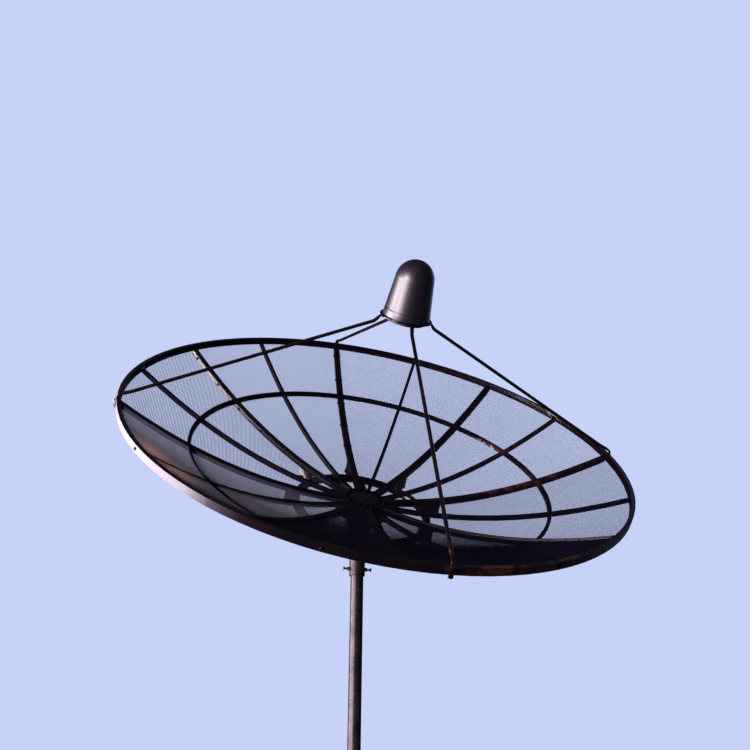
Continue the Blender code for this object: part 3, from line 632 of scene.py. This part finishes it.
CHANNEL_MIDDLE_X = 0.080
CHANNEL_END = 0.420
CHANNEL_LEVEL = -0.0983
PLUG_SIZE = Vector((0.036, 0.003, 0.026))
plugs = bmesh.new()
for x_side in (-1, 1):
    for y_side in (-1, 1):
        plug_place = Matrix.Translation((x_side * CHANNEL_MIDDLE_X,
                                         y_side * (CHANNEL_END + PLUG_SIZE.y / 2), CHANNEL_LEVEL))
        bmesh.ops.create_cube(plugs, size=1, matrix=plug_place @ Matrix.Diagonal((*PLUG_SIZE, 1)))
plug_mesh = bpy.data.meshes.new("plugs")
plugs.to_mesh(plug_mesh)
plugs.free()
plug_mesh = eased(plug_mesh, 0.001)
plug_mesh.transform(DISH)
place("channel_end_plugs", plug_mesh, PLUG, "reflector")


# Mounting ring, drum and hub plate
# A rolled square tube on stand-offs under the eight seam ribs, and a pressed plate that
# clamps the inner ends of all sixteen ribs against the drum, with a ring of bolts.

for side in ("right", "left"):
    finish_node(f"mount_ring_{side}", COAT, "reflector", 0.0012)
finish_node("hub_drum", COAT, "reflector", 0.002)

HUB_RADIUS = 0.125
HUB_FOOT = 0.00847
HUB_THICKNESS = 0.004
HUB_BOLT_RADIUS = 0.100
hub_profile = [(0.0, HUB_FOOT + 0.0075), (0.030, HUB_FOOT + 0.0075), (0.034, HUB_FOOT + HUB_THICKNESS),
               (HUB_RADIUS - 0.006, HUB_FOOT + HUB_THICKNESS), (HUB_RADIUS - 0.002, HUB_FOOT + 0.003),
               (HUB_RADIUS, HUB_FOOT + 0.001), (HUB_RADIUS, HUB_FOOT), (0.0, HUB_FOOT)]
hub_mesh = turned(hub_profile, 96, closed=False)
hub_mesh.transform(DISH)
place("pressed_hub_plate", hub_mesh, COAT, "reflector", replaced=["hub_front_plate"])

SEAM = math.pi / 4
M10_BOLT = {"Head Radius": 0.0092, "Head Height": 0.0065, "Head Sides": 6, "Washer Radius": 0.0115,
            "Washer Height": 0.0016}
M8_BOLT = {"Head Radius": 0.0075, "Head Height": 0.0055, "Head Sides": 6, "Washer Radius": 0.0095,
           "Washer Height": 0.0014}
fasteners("hub_bolts", "reflector", BLACK_BOLT, "bolt_steel", DISH, M10_BOLT, First_Radius=HUB_BOLT_RADIUS,
          Angle_Step=SEAM / 2, Per_Ring=16, Lift=HUB_FOOT + HUB_THICKNESS, Along_Axis=1.0)

STANDOFF_RADIUS = 0.455
STANDOFF_HALF_WIDTH = 0.019
STANDOFF_BOLT_DROP = 0.0833
for hand, sign in (("right", 1), ("left", -1)):
    fasteners(f"standoff_bolts_{hand}", "reflector", BLACK_BOLT, "bolt_steel", DISH, M10_BOLT,
              First_Radius=STANDOFF_RADIUS, Angle_Step=SEAM, Per_Ring=8, Lift=-STANDOFF_BOLT_DROP,
              Sideways=sign * STANDOFF_HALF_WIDTH, Along_Turn=float(sign), Four_Focal_Lengths=FOUR_FOCAL)


# Seam ribs and panel frames
# Each panel's edge rib is a square tube, and two of them are bolted together back to back,
# so a thin joint line runs down every seam rib. Rim, hoop and middle rib are welded.

SEAM_RIB_WIDTH = 0.038
SEAM_RIB_ABOVE = 0.004
SEAM_RIB_BELOW = 0.030
SEAM_RIB_INNER = 0.070
SEAM_RIB_OUTER = 1.4745
JOINT_LINE = 0.0016
RIB_STEPS = 32


def seam_rib_pair(index):
    """Two bent square tubes side by side, with a thin joint line between them."""
    shape = bmesh.new()
    half = SEAM_RIB_WIDTH / 2
    for low_y, high_y in ((-half, -JOINT_LINE / 2), (JOINT_LINE / 2, half)):
        size = Vector((SEAM_RIB_OUTER - SEAM_RIB_INNER, high_y - low_y, SEAM_RIB_ABOVE + SEAM_RIB_BELOW))
        centre = Vector(((SEAM_RIB_OUTER + SEAM_RIB_INNER) / 2, (low_y + high_y) / 2,
                         (SEAM_RIB_ABOVE - SEAM_RIB_BELOW) / 2))
        bmesh.ops.create_cube(shape, size=1,
                              matrix=Matrix.Translation(centre) @ Matrix.Diagonal((*size, 1)))
    for step in range(1, RIB_STEPS):
        radius = SEAM_RIB_INNER + (SEAM_RIB_OUTER - SEAM_RIB_INNER) * step / RIB_STEPS
        bmesh.ops.bisect_plane(shape, geom=shape.verts[:] + shape.edges[:] + shape.faces[:],
                               plane_co=(radius, 0, 0), plane_no=(1, 0, 0))
    for vert in shape.verts:
        vert.co.z += vert.co.x ** 2 / FOUR_FOCAL
    bmesh.ops.rotate(shape, verts=shape.verts, cent=(0, 0, 0), matrix=Matrix.Rotation(SEAM * index, 3, "Z"))
    mesh = bpy.data.meshes.new("ribs")
    shape.to_mesh(mesh)
    shape.free()
    mesh = eased(mesh, 0.0015)
    mesh.transform(DISH)
    place(f"seam_rib_pair_{index + 1}", mesh, COAT, "reflector",
          replaced=[f"seam_rib_{index + 1}"])


for number in range(8):
    seam_rib_pair(number)
    finish_node(f"panel_frame_{number + 1}", COAT, "reflector")

SEAM_BOLT_RADII = (0.62, 1.42)
SEAM_BOLT_DROP = 0.016
RIM_BOLT_DROP = 0.012
RIM_FACE_RADIUS = 1.4995
for hand, sign in (("right", 1), ("left", -1)):
    fasteners(f"seam_bolts_{hand}", "reflector", BLACK_BOLT, "bolt_steel", DISH, M8_BOLT,
              First_Radius=SEAM_BOLT_RADII[0], Last_Radius=SEAM_BOLT_RADII[1], Rings=5, Angle_Step=SEAM,
              Per_Ring=8, Lift=-SEAM_BOLT_DROP, Sideways=sign * SEAM_RIB_WIDTH / 2,
              Along_Turn=float(sign), Four_Focal_Lengths=FOUR_FOCAL)
fasteners("rim_bolts", "reflector", BLACK_BOLT, "bolt_steel", DISH, M8_BOLT, First_Radius=RIM_FACE_RADIUS,
          First_Angle=SEAM / 2, Angle_Step=SEAM, Per_Ring=8, Lift=-RIM_BOLT_DROP, Along_Radius=1.0,
          Four_Focal_Lengths=FOUR_FOCAL)


# Expanded mesh
# Aluminium sheet slit and stretched to diamonds, coated black, with the long way round the
# dish. Stretching leaves each strand a flat strip that leans outwards and down, so the bowl is
# open seen from one side and nearly closed from the other.

# Where a brown sunlit streak is painted on the mesh: a spot on the dish, and how far the streak reaches
SUNLIT_STREAK_SPOTS = ((dish_point(1.38, 199), 0.20), (dish_point(1.30, 206), 0.20))


def mesh_coat():
    """Thin black coat on expanded aluminium, varying at random, with a violet cast painted in for reflected
    sky and a painted brown sunlit streak low on one side.
    """
    material, tree, shader = shader_tree("coated_expanded_aluminium")
    where = add_node(tree, "ShaderNodeTexCoord").outputs["Object"]
    fading = noise(tree, where, 400)
    # Painted reflection: both strand tones carry a violet cast that stands in for the sky seen in the
    # strands.
    colour = blend_colours(tree, stretch(tree, fading, 0.35, 0.7), linear("#14111f"), linear("#1d1830"))
    painted_sunlit_streak = nearness(tree, where, SUNLIT_STREAK_SPOTS, 0.0)
    # Painted highlight: a warm brown sunlit streak on the strands, low on one side.
    colour = blend_colours(tree, painted_sunlit_streak, colour, linear("#5e453f"))
    tree.links.new(colour, shader.inputs["Base Color"])
    set_inputs(shader, {"Roughness": 0.6, "IOR": 1.45, "Specular IOR Level": 0.2})
    return material


MESH_COAT = mesh_coat()
MESH_SIZES = ("Long Way", "Short Way", "Strand Width", "Strand Thickness", "Lean", "Half Panel",
              "Seam Margin", "Inner Radius", "Outer Radius", "Four Focal Lengths", "Lift", "Turn")


def expanded_mesh_tree():
    """Zigzag strands that touch at their bends, trimmed to one panel and bent to the dish."""
    tree = bpy.data.node_groups.new("expanded_mesh", "GeometryNodeTree")
    socket_numbers(tree, MESH_SIZES)
    given = add_node(tree, "NodeGroupInput").outputs
    row_gap = calculate(tree, "MULTIPLY", given["Short Way"], 0.5)
    half_long = calculate(tree, "MULTIPLY", given["Long Way"], 0.5)
    rows = calculate(tree, "FLOOR", calculate(tree, "DIVIDE", given["Outer Radius"], row_gap))
    reach = calculate(tree, "MULTIPLY", given["Outer Radius"], calculate(tree, "SINE", given["Half Panel"]))
    half_columns = calculate(tree, "CEIL", calculate(tree, "DIVIDE", reach, half_long))
    columns = calculate(tree, "MULTIPLY", half_columns, 2.0)
    length = calculate(tree, "MULTIPLY", rows, row_gap)
    width = calculate(tree, "MULTIPLY", columns, half_long)
    grid = add_node(tree, "GeometryNodeMeshGrid",
                    {"Size X": length, "Size Y": width, "Vertices X": calculate(tree, "ADD", rows, 1.0),
                     "Vertices Y": calculate(tree, "ADD", columns, 1.0)}).outputs[0]
    ends = add_node(tree, "GeometryNodeInputMeshEdgeVertices").outputs
    along = add_node(tree, "ShaderNodeVectorMath", {0: ends["Position 1"], 1: ends["Position 2"]},
                     operation="SUBTRACT").outputs[0]
    run = add_node(tree, "ShaderNodeSeparateXYZ", {0: along}).outputs
    cross_edge = calculate(tree, "GREATER_THAN", calculate(tree, "ABSOLUTE", run[0]),
                           calculate(tree, "MULTIPLY", row_gap, 0.5))
    strands = add_node(tree, "GeometryNodeDeleteGeometry", {"Geometry": grid, "Selection": cross_edge},
                       domain="EDGE", mode="EDGE_FACE").outputs[0]
    spot = add_node(tree, "ShaderNodeSeparateXYZ",
                    {0: add_node(tree, "GeometryNodeInputPosition").outputs[0]}).outputs
    x = calculate(tree, "MULTIPLY_ADD", length, 0.5, spot[0])
    row = calculate(tree, "ROUND", calculate(tree, "DIVIDE", x, row_gap))
    column = calculate(tree, "ROUND", calculate(tree, "ADD", calculate(tree, "DIVIDE", spot[1], half_long),
                                                half_columns))
    odd = calculate(tree, "MODULO", calculate(tree, "ADD", row, column), 2.0)
    swing = calculate(tree, "MULTIPLY", calculate(tree, "MULTIPLY_ADD", odd, 2.0, -1.0),
                      calculate(tree, "MULTIPLY", given["Short Way"], 0.25))
    bent_x = calculate(tree, "ADD", x, swing)
    squares = calculate(tree, "ADD", calculate(tree, "MULTIPLY", bent_x, bent_x),
                        calculate(tree, "MULTIPLY", spot[1], spot[1]))
    bowl = calculate(tree, "DIVIDE", squares, given["Four Focal Lengths"])
    rise = calculate(tree, "ADD", bowl, given["Lift"])
    on_dish = add_node(tree, "ShaderNodeCombineXYZ", {0: bent_x, 1: spot[1], 2: rise}).outputs[0]
    shaped = add_node(tree, "GeometryNodeSetPosition", {"Geometry": strands, "Position": on_dish}).outputs[0]
    now = add_node(tree, "ShaderNodeSeparateXYZ",
                   {0: add_node(tree, "GeometryNodeInputPosition").outputs[0]}).outputs
    inside = calculate(tree, "SUBTRACT",
                       calculate(tree, "MULTIPLY", now[0], calculate(tree, "SINE", given["Half Panel"])),
                       calculate(tree, "MULTIPLY", calculate(tree, "ABSOLUTE", now[1]),
                                 calculate(tree, "COSINE", given["Half Panel"])))
    distance = calculate(tree, "SQRT", calculate(tree, "ADD", calculate(tree, "MULTIPLY", now[0], now[0]),
                                                 calculate(tree, "MULTIPLY", now[1], now[1])))
    outside = calculate(tree, "ADD", calculate(tree, "LESS_THAN", inside, given["Seam Margin"]),
                        calculate(tree, "GREATER_THAN", distance, given["Outer Radius"]))
    outside = calculate(tree, "ADD", outside, calculate(tree, "LESS_THAN", distance, given["Inner Radius"]))
    trimmed = add_node(tree, "GeometryNodeDeleteGeometry", {"Geometry": shaped, "Selection": outside},
                       domain="POINT").outputs[0]
    paths = add_node(tree, "GeometryNodeMeshToCurve", {"Mesh": trimmed}).outputs[0]
    lean_down = calculate(tree, "MULTIPLY", calculate(tree, "SINE", given["Lean"]), -1.0)
    leaning = add_node(tree, "ShaderNodeCombineXYZ",
                       {0: calculate(tree, "COSINE", given["Lean"]), 2: lean_down}).outputs[0]
    leant = add_node(tree, "GeometryNodeSetCurveNormal", {"Curve": paths, "Normal": leaning},
                     mode="FREE").outputs[0]
    # A three-sided section with a circle's unit radius, drawn out to the strip's two sizes
    wedge = add_node(tree, "GeometryNodeCurvePrimitiveCircle", {"Resolution": 3, "Radius": 1.0},
                     mode="RADIUS").outputs[0]
    across_strip = calculate(tree, "DIVIDE", given["Strand Width"], 1.5)
    through_strip = calculate(tree, "DIVIDE", given["Strand Thickness"], math.sqrt(3))
    flat = add_node(tree, "ShaderNodeCombineXYZ", {0: across_strip, 1: through_strip, 2: 1.0}).outputs[0]
    section = add_node(tree, "GeometryNodeTransform", {"Geometry": wedge, "Scale": flat}).outputs[0]
    wires = add_node(tree, "GeometryNodeCurveToMesh",
                     {"Curve": leant, "Profile Curve": section, "Fill Caps": True}).outputs[0]
    turn = add_node(tree, "ShaderNodeCombineXYZ", {2: given["Turn"]}).outputs[0]
    placed = add_node(tree, "GeometryNodeTransform", {"Geometry": wires, "Rotation": turn}).outputs[0]
    end_tree(tree, placed, given["Finish"])
    return tree


EXPANDED_MESH = expanded_mesh_tree()
# Diamonds of about 13 x 4.5 mm are usual; they are drawn twice as large, to show and to stay light
PANEL_SIZES = {"Long Way": 0.026, "Short Way": 0.009, "Strand Width": 0.0026, "Strand Thickness": 0.0013,
               "Lean": math.radians(19), "Half Panel": SEAM / 2, "Seam Margin": 0.004,
               "Inner Radius": 0.108, "Outer Radius": 1.487, "Four Focal Lengths": FOUR_FOCAL,
               "Lift": -0.001}
for number in range(8):
    panel = run_tree(EXPANDED_MESH, {**PANEL_SIZES, "Turn": SEAM * (number + 0.5)}, MESH_COAT)
    panel.transform(DISH)
    place(f"expanded_mesh_{number + 1}", panel, MESH_COAT, "reflector",
          replaced=[f"mesh_panel_{number + 1}"], smooth=False)

PAN_SCREW = {"Head Radius": 0.0045, "Head Height": 0.0022, "Head Sides": 10, "Washer Radius": 0.0085,
             "Washer Height": 0.0008}
RIB_SCREW_RADII = (0.20, 1.44)
HOOP_RADIUS = 1.075
SCREW_SINK = 0.0003
fasteners("rib_screws", "reflector", BLACK_BOLT, "bolt_steel", DISH, PAN_SCREW,
          First_Radius=RIB_SCREW_RADII[0], Last_Radius=RIB_SCREW_RADII[1], Rings=9, First_Angle=SEAM / 2,
          Angle_Step=SEAM, Per_Ring=8, Lift=-SCREW_SINK, Along_Axis=1.0, Four_Focal_Lengths=FOUR_FOCAL)
fasteners("hoop_screws", "reflector", BLACK_BOLT, "bolt_steel", DISH, PAN_SCREW, First_Radius=HOOP_RADIUS,
          First_Angle=SEAM / 4, Angle_Step=SEAM / 2, Per_Ring=16, Lift=-SCREW_SINK, Along_Axis=1.0,
          Four_Focal_Lengths=FOUR_FOCAL)


# Feed legs
# Four steel tubes flattened at both ends: bolted to the rim at one end, and under the
# feed's support ring at the other. Same black coat as the frames.

RIM_HEIGHT = RIM_RADIUS ** 2 / FOUR_FOCAL
LEG_RIM_RADIUS = 1.5033
LEG_BOLT_RADIUS = 1.5063
LEG_BOLT_LEVELS = (("upper", -0.008), ("lower", -0.040))
LEG_TOP_BOLT_RADIUS = 0.131
LEG_TOP_HEIGHT = 1.1534
LEG_RADIUS = 0.010
LEG_FLAT_WIDTH = 0.026
LEG_FLAT_THICKNESS = 0.006
LEG_SIDES = 20
LEG_BENDS = (
    # radius, height, share of flattening
    (LEG_RIM_RADIUS, RIM_HEIGHT - 0.048, 1.0),
    (LEG_RIM_RADIUS, RIM_HEIGHT + 0.010, 1.0),
    (RIM_RADIUS - 0.006, RIM_HEIGHT + 0.027, 0.7),
    (RIM_RADIUS - 0.028, RIM_HEIGHT + 0.037, 0.2),
    (RIM_RADIUS - 0.070, RIM_HEIGHT + 0.051, 0.0),
    (0.176, LEG_TOP_HEIGHT - 0.038, 0.0),
    (0.160, LEG_TOP_HEIGHT - 0.018, 0.4),
    (0.148, LEG_TOP_HEIGHT - 0.003, 0.9),
    (0.139, LEG_TOP_HEIGHT, 1.0),
    (0.116, LEG_TOP_HEIGHT, 1.0),
)


def eased_path(bends, steps=4):
    """The bends with each inner corner replaced by a short smooth curve."""
    points = [Vector(bend) for bend in bends]
    path = [points[0]]
    for before, corner, after in zip(points, points[1:], points[2:]):
        reach = 0.45 * min((corner - before).xy.length, (after - corner).xy.length)
        start = corner + (before - corner) * (reach / (corner - before).xy.length)
        end = corner + (after - corner) * (reach / (after - corner).xy.length)
        for step in range(steps + 1):
            t = step / steps
            path.append(start * (1 - t) ** 2 + corner * 2 * t * (1 - t) + end * t ** 2)
    return path + [points[-1]]


def feed_leg(name, node, turn):
    """A tube lofted along its eased bends, round in the middle and flat at its ends."""
    path = eased_path(LEG_BENDS)
    shape = bmesh.new()
    rings = []
    for index, (radius, height, flat) in enumerate(path):
        before = path[max(index - 1, 0)].xy
        after = path[min(index + 1, len(path) - 1)].xy
        along = (after - before).normalized()
        across_run = Vector((-along.y, along.x))
        half_width = LEG_RADIUS + (LEG_FLAT_WIDTH / 2 - LEG_RADIUS) * flat
        half_thick = LEG_RADIUS + (LEG_FLAT_THICKNESS / 2 - LEG_RADIUS) * flat
        ring = []
        for side in range(LEG_SIDES):
            angle = 2 * math.pi * (side + 0.5) / LEG_SIDES
            lift = max(-1.0, min(1.0, math.sin(angle) * (1 + flat))) * half_thick
            point = Vector((radius, height)) + across_run * lift
            ring.append(shape.verts.new((point.x, half_width * math.cos(angle), point.y)))
        rings.append(ring)
    for first, second in zip(rings, rings[1:]):
        for side in range(LEG_SIDES):
            following = (side + 1) % LEG_SIDES
            shape.faces.new((first[side], first[following], second[following], second[side]))
    shape.faces.new(rings[0])
    shape.faces.new(rings[-1])
    bmesh.ops.recalc_face_normals(shape, faces=shape.faces)
    mesh = bpy.data.meshes.new(name)
    shape.to_mesh(mesh)
    shape.free()
    mesh.transform(DISH @ Matrix.Rotation(turn, 4, "Z"))
    place(name, mesh, COAT, "reflector", replaced=[node])


for leg_side, leg_turn in (("right", 0), ("upper", 1), ("left", 2), ("lower", 3)):
    feed_leg(f"flattened_leg_{leg_side}", f"feed_leg_{leg_side}", leg_turn * QUARTER)
for level_name, level_lift in LEG_BOLT_LEVELS:
    fasteners(f"leg_rim_bolts_{level_name}", "reflector", ZINC, "bolt_steel", DISH, M8_BOLT,
              First_Radius=LEG_BOLT_RADIUS, Angle_Step=QUARTER, Per_Ring=3,
              Lift=RIM_HEIGHT + level_lift, Along_Radius=1.0)
for level_name, level_lift in LEG_BOLT_LEVELS:
    fasteners(f"lower_leg_bolt_{level_name}", "reflector", BLACK_BOLT, "bolt_steel", DISH, M8_BOLT,
              First_Radius=LEG_BOLT_RADIUS, First_Angle=3 * QUARTER, Lift=RIM_HEIGHT + level_lift,
              Along_Radius=1.0)
fasteners("leg_top_bolts", "reflector", BLACK_BOLT, "bolt_steel", DISH, M8_BOLT,
          First_Radius=LEG_TOP_BOLT_RADIUS, Angle_Step=QUARTER, Per_Ring=4,
          Lift=LEG_TOP_HEIGHT - LEG_FLAT_THICKNESS / 2, Along_Axis=-1.0)


# Feed: support ring, scalar ring, horn and receiver
# The ring is black like the legs. Scalar ring, horn and receiver are sand-cast aluminium,
# machined where they meet.

def cast_aluminium():
    """Sand-cast aluminium: weathered to a dull dark grey, slightly rough, with a fine grain."""
    material, tree, shader = shader_tree("sand_cast_aluminium")
    where = add_node(tree, "ShaderNodeTexCoord").outputs["Object"]
    grain = noise(tree, where, 3)
    clouds = noise(tree, where, 40)
    colour = blend_colours(tree, clouds, linear("#464347"), linear("#5b575a"))
    tree.links.new(colour, shader.inputs["Base Color"])
    tree.links.new(stretch(tree, clouds, 0.3, 0.7, 0.46, 0.6), shader.inputs["Roughness"])
    tree.links.new(bump(tree, grain, 0.2, 0.5), shader.inputs["Normal"])
    set_inputs(shader, {"Metallic": 1.0})
    return material


CASTING = cast_aluminium()
finish_node("feed_support_ring", COAT, "reflector", 0.001)
finish_node("scalar_ring", CASTING, "reflector", 0.0006)
finish_node("feed_horn", CASTING, "reflector")
finish_node("feed_receiver", CASTING, "reflector")


# Feed cover
# A tapered weather cap vacuum-formed in black plastic: high gloss with a faint violet cast,
# a groove above its skirt, and fine dust on its sides.

def glossy_cover():
    """Gloss ABS: almost black plum, a soft weathered gloss, slight waviness from forming."""
    material, tree, shader = shader_tree("vacuum_formed_gloss_abs")
    where = add_node(tree, "ShaderNodeTexCoord").outputs["Object"]
    dust = noise(tree, where, 14, 5.0, 0.65)
    waves = noise(tree, where, 60, 1.0)
    dusted = stretch(tree, dust, 0.5, 0.85, 0.0, 0.25)
    colour = blend_colours(tree, dusted, linear("#120817"), linear("#2e1d2e"))
    tree.links.new(colour, shader.inputs["Base Color"])
    tree.links.new(stretch(tree, dust, 0.3, 0.8, 0.38, 0.44), shader.inputs["Roughness"])
    tree.links.new(bump(tree, waves, 1.0, 0.06), shader.inputs["Normal"])
    set_inputs(shader, {"IOR": 1.54, "Specular IOR Level": 0.9})
    return material


GLOSS = glossy_cover()
COVER_BASE_HEIGHT = 1.162
COVER_HEIGHT = 0.332
COVER_DOME_HEIGHT = 0.118
COVER_BASE_RADIUS = 0.136
COVER_TOP_RADIUS = 0.111
COVER_WALL = 0.003
SKIRT_HEIGHT = 0.040
GROOVE_DEPTH = 0.0025
GROOVE_WIDTH = 0.005


def cover_side(height):
    """Radius of the cover's straight side at a height over its base."""
    share = height / (COVER_HEIGHT - COVER_DOME_HEIGHT)
    return COVER_BASE_RADIUS + (COVER_TOP_RADIUS - COVER_BASE_RADIUS) * share


def cover_outline():
    """The dome, the side with its groove and skirt, and back up inside."""
    dome_steps = 24
    outline = []
    for wall in (0, COVER_WALL):
        dome = [(0.0, COVER_HEIGHT - wall)]
        for step in range(1, dome_steps + 1):
            angle = math.pi / 2 * (1 - step / dome_steps)
            height = COVER_HEIGHT - COVER_DOME_HEIGHT + (COVER_DOME_HEIGHT - wall) * math.sin(angle)
            dome.append(((COVER_TOP_RADIUS - wall) * math.cos(angle), height))
        if wall == 0:
            lip = SKIRT_HEIGHT + GROOVE_WIDTH
            outline += dome
            outline += [(cover_side(lip), lip), (cover_side(lip) - GROOVE_DEPTH, lip - 0.0015),
                        (cover_side(SKIRT_HEIGHT) - GROOVE_DEPTH, SKIRT_HEIGHT + 0.0015),
                        (cover_side(SKIRT_HEIGHT) + 0.0004, SKIRT_HEIGHT - 0.0005),
                        (COVER_BASE_RADIUS, 0.005), (COVER_BASE_RADIUS - 0.001, 0.0),
                        (COVER_BASE_RADIUS - 2 * COVER_WALL, 0.0)]
        else:
            outline += [(cover_side(SKIRT_HEIGHT) - 2 * COVER_WALL, SKIRT_HEIGHT), *dome[::-1]]
    return [(radius, COVER_BASE_HEIGHT + height) for radius, height in outline]


cover_mesh = turned(cover_outline(), 96, closed=False)
cover_mesh.transform(DISH)
place("weather_cap", cover_mesh, GLOSS, "reflector", replaced=["feed_cover"])
